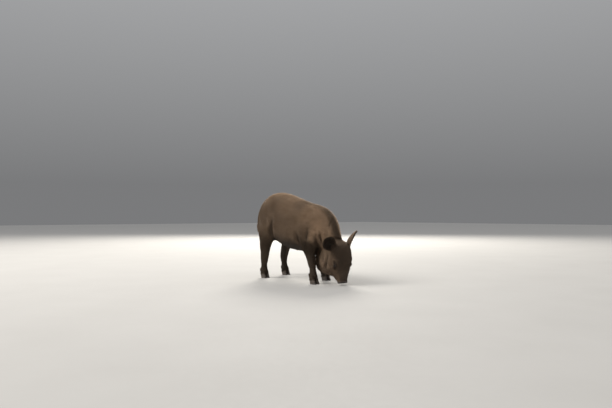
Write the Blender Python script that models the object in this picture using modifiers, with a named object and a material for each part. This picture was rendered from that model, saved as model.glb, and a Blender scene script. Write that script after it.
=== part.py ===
"""A young pig standing with its head down to feed, life size, in metres, +Z up and heading along +X.

The flesh is lofted whole, from the rump to the nose with its legs, and then parted with thin cuts
into trunk, neck, head, lower jaw, nose disc and legs. Ears, eyes, tail and claws are made apart.
"""

import math

import bmesh
import bpy
import numpy as np
from mathutils import Matrix, Vector

# Driving sizes. Everything below is drawn for DRAWN_CROUP, and scaled to CROUP_HEIGHT at the end.
CROUP_HEIGHT = 0.488
DRAWN_CROUP = 0.488
SIZE = CROUP_HEIGHT / DRAWN_CROUP

GAP = 0.0003  # clearance left where two pieces meet
VOXEL = 0.0042  # grain at which the lofts are fused
FLESH_TRIANGLES = 3800

# The head hangs almost upright: its own length runs down from the poll to the nose.
POLL = (0.583, 0.249)  # x and z of the crest between the ears
HEAD_LEAN = math.radians(8)  # how far the nose is swung forward of the poll
HEAD_LENGTH = 0.242

# The line each leg follows, as the x of its middle at heights from the sole up.
FORE_HEIGHTS = (0.0, 0.040, 0.075, 0.112, 0.150, 0.200, 0.340)
FORE_LINES = {
    "right": (0.456, 0.450, 0.444, 0.434, 0.424, 0.419, 0.417),
    "left": (0.354, 0.350, 0.350, 0.359, 0.374, 0.394, 0.410),
}
HIND_HEIGHTS = (0.0, 0.036, 0.065, 0.108, 0.152, 0.212, 0.300, 0.420)
HIND_LINES = {
    "right": (0.031, 0.026, 0.021, 0.026, 0.032, 0.036, 0.024, 0.008),
    "left": (-0.031, -0.038, -0.047, -0.050, -0.036, -0.006, 0.012, 0.008),
}
FORE_FRONTS = {  # how far forward each foreleg's own piece goes, at heights 0.19, 0.165, 0.11, 0.07 and below
    "right": (0.468, 0.457, 0.462, 0.490, 0.510),
    "left": (0.452, 0.440, 0.420, 0.420, 0.440),
}
FORE_TRACK = 0.084  # how far each foot stands from the middle plane
HIND_TRACK = 0.098
SIDES = {"left": 1, "right": -1}

EYE_RADIUS = 0.0100
EYE_PLACE = (0.1435, -0.0225, 0.0510)  # down the head, towards the forehead, and across

# Each ear: the way it points, and the way its hollow looks.
EARS = {
    "right": ((0.16, -0.86, 0.48), (0.90, -0.05, -0.42)),
    "left": ((-0.12, 0.46, 0.85), (0.68, 0.56, -0.48)),
}
EAR_ROOT = (0.050, -0.014, 0.059)
EAR_SUNK = 0.12  # share of the ear's length that starts inside the skull
EAR_LENGTH = 0.092
EAR_WIDTH = 0.072
EAR_THICKNESS = 0.0048

CLAW_HEIGHT = 0.026
CLAW_LENGTH = 0.042
CLAW_WIDTH = 0.021
CLAW_SPREAD = 0.0118  # from the foot's middle to each claw's
DEW_HEIGHT = 0.044
DEW_LENGTH = 0.021
DEW_SETBACK = 0.0235  # behind the foot's middle

# Base colour and roughness of each finish, and the start of the names of the nodes that have it.
FINISHES = {
    "bristled_skin": ((0.110, 0.079, 0.053), 0.72, ("trunk", "neck", "head", "lower_jaw", "fore_leg",
                                                    "hind_leg", "ear", "tail")),
    "nose_skin": ((0.060, 0.045, 0.038), 0.45, ("nose_disc",)),
    "horn": ((0.045, 0.036, 0.030), 0.40, ("claw", "dewclaw")),
    "eyeball": ((0.020, 0.012, 0.008), 0.08, ("eye",)),
}


def clear_scene():
    for old in list(bpy.data.objects):
        bpy.data.objects.remove(old)


def new_collection(name):
    made = bpy.data.collections.new(name)
    bpy.context.scene.collection.children.link(made)
    return made


def material(name, colour, roughness):
    made = bpy.data.materials.new(name)
    made.use_nodes = True
    shader = made.node_tree.nodes["Principled BSDF"]
    shader.inputs["Base Color"].default_value = (*colour, 1)
    shader.inputs["Roughness"].default_value = roughness
    shader.inputs["Metallic"].default_value = 0.0
    return made


# Shapes


def object_of(name, points, faces):
    mesh = bpy.data.meshes.new(name)
    mesh.from_pydata([tuple(p) for p in points], [], faces)
    cleaned = bmesh.new()
    cleaned.from_mesh(mesh)
    bmesh.ops.recalc_face_normals(cleaned, faces=cleaned.faces)
    cleaned.to_mesh(mesh)
    cleaned.free()
    made = bpy.data.objects.new(name, mesh)
    bpy.context.scene.collection.objects.link(made)
    return made


def section(top, bottom, half_width, side=0.0, widest=0.5, upper=2.0, lower=2.0):
    """One cross-section of a loft. top and bottom are (x, z) points, widest is how far down it is
    broadest, and upper and lower say how square each half is: 2 is an ellipse."""
    return (*top, *bottom, half_width, side, widest, upper, lower)


def between(sections, count):
    """The sections resampled to count of them, on a smooth curve through each of their values."""
    rows = np.array(sections, float)
    middles = (rows[:, 0:2] + rows[:, 2:4]) / 2
    along = np.concatenate([[0], np.cumsum(np.linalg.norm(np.diff(middles, axis=0), axis=1))])
    slopes = np.gradient(rows, along, axis=0)
    wanted = np.linspace(0, along[-1], count)
    before = np.clip(np.searchsorted(along, wanted, side="right") - 1, 0, len(rows) - 2)
    span = (along[before + 1] - along[before])[:, None]
    t = (wanted - along[before])[:, None] / span
    start, end = rows[before], rows[before + 1]
    out, back = slopes[before] * span, slopes[before + 1] * span
    return (
        (2 * t**3 - 3 * t**2 + 1) * start
        + (t**3 - 2 * t**2 + t) * out
        + (3 * t**2 - 2 * t**3) * end
        + (t**3 - t**2) * back
    )


def ring(row, around):
    top, bottom = row[0:2], row[2:4]
    half_width, side, widest, upper, lower = row[4:]
    middle = top + (bottom - top) * widest
    angle = np.arange(around) * 2 * np.pi / around
    down, across = np.cos(angle), np.sin(angle)
    power = 2 / np.where(down >= 0, upper, lower)
    reach = np.where((down >= 0)[:, None], top - middle, bottom - middle)
    sagittal = middle + reach * (np.abs(down) ** power)[:, None]
    lateral = side + half_width * np.sign(across) * np.abs(across) ** power
    return np.stack([sagittal[:, 0], lateral, sagittal[:, 1]], axis=1)


def domed(first, second, depth, steps=6):
    """Rings that close an open end: from the outermost, nearly a point, up to the first ring."""
    centre, way = first.mean(0), first.mean(0) - second.mean(0)
    way /= np.linalg.norm(way)
    turns = np.linspace(0.5 * np.pi * 0.97, 0, steps, endpoint=False)
    return [centre + (first - centre) * math.cos(t) + way * depth * math.sin(t) for t in turns]


def loft(name, sections, rings=48, around=40, start_dome=0.01, end_dome=0.01):
    body = [ring(row, around) for row in between(sections, rings)]
    starts = domed(body[0], body[1], start_dome)
    ends = domed(body[-1], body[-2], end_dome)[::-1]
    stacked = [*starts, *body, *ends]
    faces = []
    for i in range(len(stacked) - 1):
        for k in range(around):
            n = (k + 1) % around
            faces.append((i * around + k, i * around + n, (i + 1) * around + n, (i + 1) * around + k))
    faces.append(tuple(range(around))[::-1])
    faces.append(tuple(range((len(stacked) - 1) * around, len(stacked) * around)))
    return object_of(name, np.concatenate(stacked), faces)


def on_head(down, forward, across=0.0):
    """A point of the head's own frame: down from the poll, forward to the forehead, and across."""
    sine, cosine = math.sin(HEAD_LEAN), math.cos(HEAD_LEAN)
    return (POLL[0] + down * sine + forward * cosine, across, POLL[1] - down * cosine + forward * sine)


def head_section(down, brow, jaw, half_width, **shape):
    top, bottom = on_head(down, brow), on_head(down, jaw)
    return section((top[0], top[2]), (bottom[0], bottom[2]), half_width, **shape)


# The lofts of the flesh


def trunk_and_neck():
    return loft(
        "trunk_loft",
        [
            section((-0.083, 0.406), (-0.074, 0.310), 0.046, widest=0.45),
            section((-0.064, 0.438), (-0.052, 0.262), 0.076, widest=0.44),
            section((-0.018, 0.470), (-0.010, 0.224), 0.097, widest=0.44, upper=2.1),
            section((0.048, 0.488), (0.055, 0.203), 0.110, widest=0.47, upper=2.1),
            section((0.125, 0.479), (0.125, 0.181), 0.121, widest=0.52, upper=2.1),
            section((0.205, 0.456), (0.205, 0.165), 0.127, widest=0.56, upper=2.0, lower=2.1),
            section((0.285, 0.432), (0.285, 0.159), 0.125, widest=0.56, upper=1.95, lower=2.1),
            section((0.350, 0.416), (0.356, 0.158), 0.117, widest=0.54, upper=1.9),
            section((0.405, 0.404), (0.418, 0.160), 0.105, widest=0.52, upper=1.9),
            section((0.456, 0.385), (0.452, 0.168), 0.092, widest=0.50, upper=1.85),
            section((0.493, 0.352), (0.462, 0.160), 0.080, widest=0.50, upper=1.85),
            section((0.516, 0.308), (0.466, 0.146), 0.070, widest=0.50, upper=1.85),
            section((0.535, 0.268), (0.474, 0.130), 0.062, widest=0.48, upper=1.9),
            section((0.552, 0.236), (0.488, 0.118), 0.056, widest=0.48),
        ],
        rings=72,
        around=56,
        start_dome=0.020,
        end_dome=0.020,
    )


def skull():
    """Forehead, cheeks and upper muzzle, down to the nose disc."""
    return loft(
        "skull_loft",
        [
            head_section(0.012, -0.030, -0.100, 0.043, widest=0.5),
            head_section(0.036, -0.004, -0.110, 0.0620, widest=0.52, upper=2.7),
            head_section(0.064, 0.007, -0.116, 0.0700, widest=0.53, upper=2.9),
            head_section(0.094, 0.010, -0.116, 0.0715, widest=0.56, upper=2.9),
            head_section(0.122, 0.008, -0.106, 0.0710, widest=0.56, upper=2.8),
            head_section(0.147, 0.002, -0.092, 0.0650, widest=0.55, upper=2.6),
            head_section(0.172, -0.003, -0.078, 0.0530, widest=0.55, upper=2.5),
            head_section(0.197, -0.008, -0.065, 0.0385, widest=0.54, upper=2.4),
            head_section(0.222, -0.014, -0.057, 0.0305, widest=0.52, upper=2.4),
            head_section(0.236, -0.015, -0.053, 0.0290, widest=0.50, upper=2.3),
        ],
        rings=52,
        around=48,
        start_dome=0.012,
        end_dome=0.004,
    )


def jowl():
    """Lower jaw and throat, from behind the cheeks to the chin."""
    return loft(
        "jowl_loft",
        [
            head_section(0.040, -0.060, -0.122, 0.054, lower=2.2),
            head_section(0.068, -0.060, -0.140, 0.064, lower=2.3),
            head_section(0.096, -0.055, -0.150, 0.0705, lower=2.4),
            head_section(0.120, -0.052, -0.147, 0.0715, lower=2.4),
            head_section(0.143, -0.048, -0.130, 0.0655, lower=2.3),
            head_section(0.165, -0.044, -0.110, 0.0525, lower=2.3),
            head_section(0.188, -0.040, -0.090, 0.0350, lower=2.3),
            head_section(0.207, -0.038, -0.076, 0.0265, lower=2.3),
            head_section(0.223, -0.040, -0.066, 0.0210, lower=2.2),
        ],
        rings=36,
        around=36,
        start_dome=0.012,
        end_dome=0.008,
    )


def throat():
    """The loose skin that hangs from the jaw to the brisket, between the forelegs."""
    return loft(
        "throat_loft",
        [
            head_section(0.045, -0.070, -0.150, 0.0490, lower=2.6),
            head_section(0.075, -0.070, -0.185, 0.0540, lower=3.8),
            head_section(0.105, -0.070, -0.191, 0.0545, lower=4.2),
            head_section(0.135, -0.066, -0.187, 0.0545, lower=4.0),
            head_section(0.158, -0.060, -0.178, 0.0525, lower=3.2),
            head_section(0.176, -0.055, -0.154, 0.0450, lower=2.7),
            head_section(0.192, -0.050, -0.112, 0.0320, lower=2.3),
        ],
        rings=30,
        around=36,
        start_dome=0.014,
        end_dome=0.008,
    )


def leg_sections(rows, heights, line, track, side):
    """Sections of a leg strung along its line. Each row is a height, the reach to the front and to the
    back, half the width, how far out it stands as a share of the track, and the drop from back to front."""
    made = []
    for height, front, back, half_width, out, drop in rows:
        x = float(np.interp(height, heights, line))
        made.append(
            section(
                (x + front, height - 0.5 * drop),
                (x - back, height + 0.5 * drop),
                half_width,
                side=side * track * out,
                upper=2.1,
                lower=2.1,
            )
        )
    return made


def fore_leg(name):
    rows = [
        (0.340, 0.040, 0.045, 0.034, 0.58, 0.0),
        (0.300, 0.060, 0.060, 0.042, 0.72, 0.0),
        (0.250, 0.066, 0.068, 0.045, 0.85, 0.0),
        (0.207, 0.054, 0.058, 0.040, 0.95, 0.0),
        (0.172, 0.037, 0.044, 0.032, 1.00, 0.0),
        (0.148, 0.028, 0.0315, 0.0250, 1.01, 0.0),
        (0.118, 0.0235, 0.0240, 0.0220, 1.00, 0.0),
        (0.102, 0.0225, 0.0235, 0.0215, 1.00, 0.0),
        (0.080, 0.0180, 0.0180, 0.0180, 1.00, 0.0),
        (0.058, 0.0185, 0.0195, 0.0185, 1.00, -0.002),
        (0.040, 0.0190, 0.0200, 0.0185, 1.00, -0.005),
    ]
    sections = leg_sections(rows, FORE_HEIGHTS, FORE_LINES[name], FORE_TRACK, SIDES[name])
    return loft(f"fore_leg_{name}_loft", sections, rings=44, around=32, start_dome=0.02, end_dome=0.005)


def hind_leg(name):
    rows = [
        (0.405, 0.055, 0.056, 0.034, 0.42, 0.0),
        (0.360, 0.080, 0.080, 0.046, 0.54, 0.0),
        (0.310, 0.092, 0.084, 0.050, 0.64, 0.0),
        (0.258, 0.082, 0.073, 0.044, 0.78, 0.0),
        (0.213, 0.052, 0.050, 0.034, 0.93, 0.0),
        (0.180, 0.039, 0.040, 0.0275, 1.00, 0.0),
        (0.150, 0.032, 0.034, 0.0225, 1.00, 0.0),
        (0.120, 0.028, 0.030, 0.0205, 1.00, -0.003),
        (0.100, 0.024, 0.026, 0.0195, 1.00, 0.0),
        (0.078, 0.0185, 0.0190, 0.0175, 1.00, 0.0),
        (0.058, 0.0185, 0.0190, 0.0180, 1.00, -0.002),
        (0.040, 0.0190, 0.0200, 0.0185, 1.00, -0.005),
    ]
    sections = leg_sections(rows, HIND_HEIGHTS, HIND_LINES[name], HIND_TRACK, SIDES[name])
    return loft(f"hind_leg_{name}_loft", sections, rings=52, around=36, start_dome=0.02, end_dome=0.005)


def toe(name, foot, track, inner):
    """The short fleshy stub that carries one claw."""
    y = track + inner * CLAW_SPREAD
    sections = [
        section((foot + 0.006, 0.046), (foot - 0.024, 0.040), 0.0120, side=y),
        section((foot + 0.011, 0.030), (foot - 0.018, 0.022), 0.0110, side=y),
        section((foot + 0.015, 0.016), (foot - 0.015, 0.010), 0.0095, side=y),
    ]
    return loft(name, sections, rings=10, around=20, start_dome=0.008, end_dome=0.004)


def claw_ring(height, foot, y):
    """One level of a claw: it slopes back as it rises, and is a blunt point in front."""
    rise = height / CLAW_HEIGHT
    length = CLAW_LENGTH * (1 - 0.24 * rise)
    width = CLAW_WIDTH * (1 - 0.14 * rise)
    middle = foot + 0.0055 - 0.0110 * rise
    angle = np.arange(12) * 2 * np.pi / 12
    point = 1 - 0.20 * np.maximum(np.cos(angle), 0) ** 2
    x = middle + 0.5 * length * np.sign(np.cos(angle)) * np.abs(np.cos(angle)) ** 0.9
    side = y + 0.5 * width * np.sign(np.sin(angle)) * np.abs(np.sin(angle)) ** 0.8 * point
    return np.stack([x, side, np.full(12, height)], axis=1)


def claw(name, foot, y):
    heights = [0.0, 0.30 * CLAW_HEIGHT, CLAW_HEIGHT]
    rings = [claw_ring(h, foot, y) for h in heights]
    crown = rings[-1].mean(0)
    rings.append(crown + (rings[-1] - crown) * 0.55 + np.array([0, 0, 0.0018]))
    # The heel is lower than the toe, so the crown tips back.
    for i in (2, 3):
        rings[i][:, 2] += (rings[i][:, 0] - crown[0]) * 0.16
    around = len(rings[0])
    faces = [tuple(range(around))[::-1]]
    for i in range(len(rings) - 1):
        for k in range(around):
            n = (k + 1) % around
            faces.append((i * around + k, i * around + n, (i + 1) * around + n, (i + 1) * around + k))
    faces.append(tuple(range((len(rings) - 1) * around, len(rings) * around)))
    return object_of(name, np.concatenate(rings), faces)


def dewclaw(name, foot, y, outward):
    """A small blunt horn behind the pastern, pointing down and a little back."""
    bpy.ops.mesh.primitive_cone_add(vertices=10, radius1=0.0036, radius2=0.0078, depth=DEW_LENGTH)
    made = bpy.context.object
    made.name = name
    made.rotation_euler = (math.radians(12 * outward), math.radians(30), 0)
    made.location = (foot - DEW_SETBACK, y + 0.002 * outward, DEW_HEIGHT)
    return applied(made)


def ear_point(along, across):
    """A point of the ear's blade: along from root to tip, across from -1 to 1.
    The first number runs up the ear, the second across it, the third out of its hollow."""
    swell = 0.42
    if along < swell:
        half = 0.66 + 0.34 * math.sin(0.5 * math.pi * along / swell)
    else:
        half = (1 - ((along - swell) / (1 - swell)) ** 2.1) ** 0.72
    half = 0.5 * EAR_WIDTH * max(half, 0.05)
    bow = math.radians(78 - 48 * along)
    turn = across * bow
    flare = half / math.sin(bow)
    hollow = flare * (math.cos(bow) - math.cos(turn))
    curl = 0.13 * EAR_LENGTH * max(along, 0) ** 2.2  # the tip leans over the hollow
    return (EAR_LENGTH * along, flare * math.sin(turn), hollow + curl)


def ear(name):
    rows, columns = 10, 6
    root = Vector(on_head(EAR_ROOT[0], EAR_ROOT[1], SIDES[name] * EAR_ROOT[2]))
    up = Vector(EARS[name][0]).normalized()
    hollow = Vector(EARS[name][1])
    hollow = (hollow - hollow.dot(up) * up).normalized()
    wide = hollow.cross(up)
    points = []
    for along in np.linspace(-EAR_SUNK, 1, rows + 1):
        for j in range(columns + 1):
            a, b, c = ear_point(along, 2 * j / columns - 1)
            points.append(root + up * a + wide * b + hollow * c)
    faces = []
    for i in range(rows):
        for j in range(columns):
            k = i * (columns + 1) + j
            faces.append((k, k + 1, k + columns + 2, k + columns + 1))
    made = object_of(f"ear_{name}", points, faces)
    thick = made.modifiers.new("Thickness", "SOLIDIFY")
    thick.thickness = EAR_THICKNESS
    thick.offset = 0
    return made


def eye(name):
    place = on_head(EYE_PLACE[0], EYE_PLACE[1], SIDES[name] * EYE_PLACE[2])
    bpy.ops.mesh.primitive_uv_sphere_add(segments=14, ring_count=8, radius=EYE_RADIUS, location=place)
    made = bpy.context.object
    made.name = f"eye_{name}"
    return applied(made)


def tail():
    """It comes off the croup and hangs beside the right buttock, thick at the root, thin at the tuft."""
    rows = [
        section((-0.066, 0.424), (-0.070, 0.394), 0.0130),
        section((-0.097, 0.416), (-0.094, 0.394), 0.0105, side=-0.010),
        section((-0.116, 0.390), (-0.101, 0.385), 0.0080, side=-0.029),
        section((-0.119, 0.350), (-0.106, 0.350), 0.0064, side=-0.042),
        section((-0.117, 0.310), (-0.106, 0.310), 0.0054, side=-0.047),
        section((-0.114, 0.276), (-0.1055, 0.276), 0.0042, side=-0.047),
    ]
    return loft("tail", rows, rings=14, around=8, start_dome=0.004, end_dome=0.006)


# Fusing and parting


def applied(made):
    """Bakes the object's modifiers and placing into its mesh."""
    graph = bpy.context.evaluated_depsgraph_get()
    mesh = bpy.data.meshes.new_from_object(made.evaluated_get(graph), depsgraph=graph)
    mesh.transform(made.matrix_basis)
    made.modifiers.clear()
    made.data = mesh
    made.matrix_basis = Matrix.Identity(4)
    return made


def copied(made, name):
    twin = made.copy()
    twin.data = made.data.copy()
    twin.name = name
    bpy.context.scene.collection.objects.link(twin)
    return twin


def joined(name, parts):
    whole = bmesh.new()
    for part in parts:
        whole.from_mesh(part.data)
        bpy.data.objects.remove(part)
    mesh = bpy.data.meshes.new(name)
    whole.to_mesh(mesh)
    whole.free()
    made = bpy.data.objects.new(name, mesh)
    bpy.context.scene.collection.objects.link(made)
    return made


def fused(name, parts):
    """One skin round the overlapping lofts, softened where they meet, in few enough faces."""
    made = joined(name, parts)
    remesh = made.modifiers.new("Fuse", "REMESH")
    remesh.mode = "VOXEL"
    remesh.voxel_size = VOXEL
    remesh.adaptivity = 0.0
    soften = made.modifiers.new("Soften", "SMOOTH")
    soften.factor = 0.5
    soften.iterations = 8
    applied(made)
    blend_high(made)
    triangles = sum(len(p.vertices) - 2 for p in made.data.polygons)
    fewer = made.modifiers.new("Fewer", "DECIMATE")
    fewer.ratio = FLESH_TRIANGLES / triangles
    return applied(made)


def blend_high(made):
    """Rounds the joins of the limbs and head to the body, and leaves the lower legs and face as they are."""
    group = made.vertex_groups.new(name="body")
    for vertex in made.data.vertices:
        x, y, z = vertex.co
        floor = 0.080 if x > 0.46 and abs(y) < 0.080 else 0.150
        share = min(1.0, max(0.0, (z - floor) / 0.060)) * min(1.0, max(0.0, (0.560 - x) / 0.050))
        group.add([vertex.index], share, "REPLACE")
    blend = made.modifiers.new("Blend", "SMOOTH")
    blend.factor = 0.5
    blend.iterations = 40
    blend.vertex_group = "body"
    applied(made)


def grown(made, by=GAP):
    swell = made.modifiers.new("Swell", "DISPLACE")
    swell.mid_level = 0.0
    swell.strength = by
    return applied(made)


def cut(made, cutter, operation):
    tool = made.modifiers.new("Cut", "BOOLEAN")
    tool.operation = operation
    tool.solver = "EXACT"
    tool.object = cutter
    return applied(made)


def parted(rest, name, region):
    """Takes the region's share out of rest as a piece of its own, with a thin gap between."""
    piece = cut(copied(rest, name), region, "INTERSECT")
    cut(rest, grown(region), "DIFFERENCE")
    bpy.data.objects.remove(region)
    return piece


def block(low, high, at, pitch):
    """A box from low to high about the point at, pitched about Y."""
    size = [h - l for l, h in zip(low, high)]
    middle = Vector([(h + l) / 2 for l, h in zip(low, high)])
    bpy.ops.mesh.primitive_cube_add(size=1)
    made = bpy.context.object
    made.name = "region"
    turn = Matrix.Translation(at) @ Matrix.Rotation(pitch, 4, "Y")
    made.matrix_basis = turn @ Matrix.Translation(middle) @ Matrix.Diagonal((*size, 1))
    return applied(made)


def leg_region(side, profile, inner, rise):
    """What belongs to a leg: an x-z profile carried outward from inner, its first two points, which are
    its top edge, climbing by rise on the way."""
    outer = inner + 0.17
    points = [(x, side * inner, z) for x, z in profile]
    points += [(x, side * outer, z + (rise if i < 2 else 0)) for i, (x, z) in enumerate(profile)]
    count = len(profile)
    faces = [tuple(range(count)), tuple(range(count, 2 * count))[::-1]]
    faces += [(i, (i + 1) % count, count + (i + 1) % count, count + i) for i in range(count)]
    return object_of("region", points, faces)


def parts_of(flesh):
    """The named pieces of the flesh. What is left at the end is the trunk."""
    hind_profile = [(-0.200, 0.190), (0.128, 0.100), (0.128, -0.100), (-0.200, -0.100)]
    pieces = []
    for name, side in SIDES.items():
        elbow = float(np.interp(0.200, FORE_HEIGHTS, FORE_LINES[name]))
        fore_profile = [(elbow - 0.064, 0.196)]
        fore_profile += list(zip(FORE_FRONTS[name], (0.190, 0.165, 0.110, 0.070, 0.036)))
        fore_profile += [(FORE_FRONTS[name][-1], -0.100), (FORE_LINES[name][0] - 0.080, -0.100)]
        region = leg_region(side, fore_profile, 0.0585, 0.110)
        pieces.append(parted(flesh, f"fore_leg_{name}", region))
        region = leg_region(side, hind_profile, 0.020, 0.225)
        pieces.append(parted(flesh, f"hind_leg_{name}", region))
    down_head = math.pi / 2 + HEAD_LEAN
    region = block((0, -0.1, -0.1), (0.1, 0.1, 0.1), at=on_head(0.2295, 0), pitch=down_head)
    pieces.append(parted(flesh, "nose_disc", region))
    mouth = on_head(0.205, -0.050)
    region = block((-0.085, -0.12, -0.16), (0.05, 0.12, 0.0), at=mouth, pitch=down_head - math.radians(12))
    pieces.append(parted(flesh, "lower_jaw", region))
    region = block((0, -0.2, -0.3), (0.3, 0.2, 0.3), at=(0.470, 0, 0.140), pitch=math.radians(38))
    pieces.append(parted(flesh, "head", region))
    region = block((0, -0.2, -0.3), (0.3, 0.2, 0.3), at=(0.410, 0, 0.162), pitch=math.radians(22))
    pieces.append(parted(flesh, "neck", region))
    flesh.name = "trunk"
    return [*pieces, flesh]


def finish(nodes):
    """Scales the pieces, stands them on the middle of their floor outline, and gives each its material."""
    corners = np.array([corner.co for node in nodes for corner in node.data.vertices])
    low, high = corners.min(0), corners.max(0)
    centre = Matrix.Translation((-(low[0] + high[0]) / 2, -(low[1] + high[1]) / 2, -low[2]))
    pig = new_collection("pig")
    for node in nodes:
        node.data.transform(Matrix.Diagonal((SIZE, SIZE, SIZE, 1)) @ centre)
        for holder in list(node.users_collection):
            holder.objects.unlink(node)
        pig.objects.link(node)
        for finish_name, (colour, roughness, starts) in FINISHES.items():
            if node.name.startswith(starts):
                node.data.materials.clear()
                node.data.materials.append(material(f"{finish_name}_{node.name}", colour, roughness))


def build():
    clear_scene()
    lofts = [trunk_and_neck(), skull(), jowl(), throat()]
    horns = []
    for name, side in SIDES.items():
        lofts += [fore_leg(name), hind_leg(name)]
        for pair, foot, track in (
            ("fore", FORE_LINES[name][0], side * FORE_TRACK),
            ("hind", HIND_LINES[name][0], side * HIND_TRACK),
        ):
            for place, way in (("outer", side), ("inner", -side)):
                lofts.append(toe("toe", foot, track, way))
                y = track + way * CLAW_SPREAD
                horns.append(claw(f"claw_{pair}_{name}_{place}", foot, y))
                horns.append(dewclaw(f"dewclaw_{pair}_{name}_{place}", foot, y, way))
    flesh = fused("flesh", lofts)
    eyes = [eye(name) for name in SIDES]
    for hard in [*horns, *eyes]:
        cutter = grown(copied(hard, "cutter"))
        cut(flesh, cutter, "DIFFERENCE")
        bpy.data.objects.remove(cutter)
    round_flesh = grown(copied(flesh, "cutter"))
    soft = [*(ear(name) for name in SIDES), tail()]
    for made in soft:
        cut(applied(made), round_flesh, "DIFFERENCE")
    bpy.data.objects.remove(round_flesh)
    finish([*parts_of(flesh), *soft, *eyes, *horns])


if __name__ == "__main__":
    build()
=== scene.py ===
import math

import bmesh
import bpy
import numpy as np
from mathutils import Matrix, Vector
from mathutils.bvhtree import BVHTree


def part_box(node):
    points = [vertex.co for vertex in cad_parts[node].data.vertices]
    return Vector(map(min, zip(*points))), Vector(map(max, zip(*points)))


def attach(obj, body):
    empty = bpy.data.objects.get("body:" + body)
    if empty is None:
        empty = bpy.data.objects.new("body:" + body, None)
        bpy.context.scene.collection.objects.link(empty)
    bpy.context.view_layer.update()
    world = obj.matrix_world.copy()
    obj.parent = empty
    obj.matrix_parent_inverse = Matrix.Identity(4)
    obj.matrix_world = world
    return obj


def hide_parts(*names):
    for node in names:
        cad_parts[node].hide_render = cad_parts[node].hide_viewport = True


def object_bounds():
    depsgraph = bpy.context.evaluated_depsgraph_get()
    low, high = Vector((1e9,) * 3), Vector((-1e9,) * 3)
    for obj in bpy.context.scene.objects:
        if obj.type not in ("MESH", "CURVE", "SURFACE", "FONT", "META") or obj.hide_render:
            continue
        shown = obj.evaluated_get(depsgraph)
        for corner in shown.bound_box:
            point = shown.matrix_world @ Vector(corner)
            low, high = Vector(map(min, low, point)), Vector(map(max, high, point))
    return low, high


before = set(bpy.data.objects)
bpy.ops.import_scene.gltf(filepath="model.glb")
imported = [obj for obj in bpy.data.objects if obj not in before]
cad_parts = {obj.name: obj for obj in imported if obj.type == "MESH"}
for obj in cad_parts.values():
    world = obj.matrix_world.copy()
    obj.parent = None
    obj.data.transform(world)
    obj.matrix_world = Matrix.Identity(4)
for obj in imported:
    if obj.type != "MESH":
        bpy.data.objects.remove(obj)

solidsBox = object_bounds()
print("pig: frame loaded,", len(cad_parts), "nodes")

sides = {"left": 1, "right": -1}
fleshNodes = ["trunk", "neck", "head", "lower_jaw", "nose_disc", "tail"]
fleshNodes += [f"{pair}_leg_{side}" for pair in ("fore", "hind") for side in sides]
fleshNodes += [f"ear_{side}" for side in sides]
clawNodes = sorted(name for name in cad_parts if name.startswith("claw"))
dewclawNodes = sorted(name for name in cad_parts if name.startswith("dewclaw"))

# places are worked out from the solids' boxes, as shares of the trunk or along the head
trunkLow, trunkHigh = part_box("trunk")
headLow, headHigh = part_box("head")
middleY = 0.5 * (headLow.y + headHigh.y)
headFrame = {"pollBack": 0.0247, "pollAbove": 0.0079, "lean": math.radians(8)}
poll = Vector((headHigh.x - headFrame["pollBack"], middleY, headHigh.z + headFrame["pollAbove"]))
downHead = Vector((math.sin(headFrame["lean"]), 0, -math.cos(headFrame["lean"])))
toForehead = Vector((math.cos(headFrame["lean"]), 0, math.sin(headFrame["lean"])))


def headPoint(down, forward, across):
    return poll + downHead * down + toForehead * forward + Vector((0, across, 0))


bodyFrame = {"length": 0.980, "belly": 0.024}  # shares of the trunk's box
bodyLength = bodyFrame["length"] * (trunkHigh.x - trunkLow.x)
bellyHeight = trunkLow.z + bodyFrame["belly"] * (trunkHigh.z - trunkLow.z)
bodyDepth = trunkHigh.z - bellyHeight


def bodyPoint(along, out, up):
    # along 0 at the rump to 1 at the chest, out 1 at the widest, up 0 at the belly to 1 at the back
    half = 0.5 * (trunkHigh.y - trunkLow.y)
    return Vector((trunkLow.x + along * bodyLength, middleY + out * half, bellyHeight + up * bodyDepth))


# small tools for meshes held as number arrays

def pointsOf(mesh):
    values = np.empty(len(mesh.vertices) * 3)
    mesh.vertices.foreach_get("co", values)
    return values.reshape(-1, 3)


def normalsOf(mesh):
    values = np.empty(len(mesh.vertices) * 3)
    mesh.vertices.foreach_get("normal", values)
    return values.reshape(-1, 3)


def edgesOf(mesh):
    values = np.empty(len(mesh.edges) * 2, dtype=np.int64)
    mesh.edges.foreach_get("vertices", values)
    return values.reshape(-1, 2)


def setPoints(mesh, points):
    mesh.vertices.foreach_set("co", points.ravel())
    mesh.update()


def addNumbers(mesh, name, values):
    mesh.attributes.new(name, "FLOAT", "POINT").data.foreach_set("value", values.astype(np.float32))


def unit(vectors):
    return vectors / np.maximum(np.linalg.norm(vectors, axis=-1, keepdims=True), 1e-9)


def ramp(low, high, values):
    t = np.clip((values - low) / (high - low), 0, 1)
    return t * t * (3 - 2 * t)


def soften(values, edges, rounds, share=0.5):
    count = np.maximum(np.bincount(edges.ravel(), minlength=len(values)), 1)[:, None]
    first, second = edges.T
    share = np.reshape(share, (-1, 1))
    for _ in range(rounds):
        total = np.stack([
            np.bincount(first, column[second], len(column)) + np.bincount(second, column[first], len(column))
            for column in values.T
        ], axis=1)
        values = values + share * (total / count - values)
    return values


def wander(points, size, seed):
    # a smooth wandering vector field: a few crossed waves about size long
    made = np.zeros_like(points)
    waves = np.random.default_rng(seed)
    for _ in range(6):
        way = waves.normal(0, 1, (3, 3)) * 2 * math.pi / size / 1.7
        made += np.sin(points @ way + waves.uniform(0, 2 * math.pi, 3))
    return made / 3


def objectOf(name, mesh):
    made = bpy.data.objects.new(name, mesh)
    bpy.context.scene.collection.objects.link(made)
    return made


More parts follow.
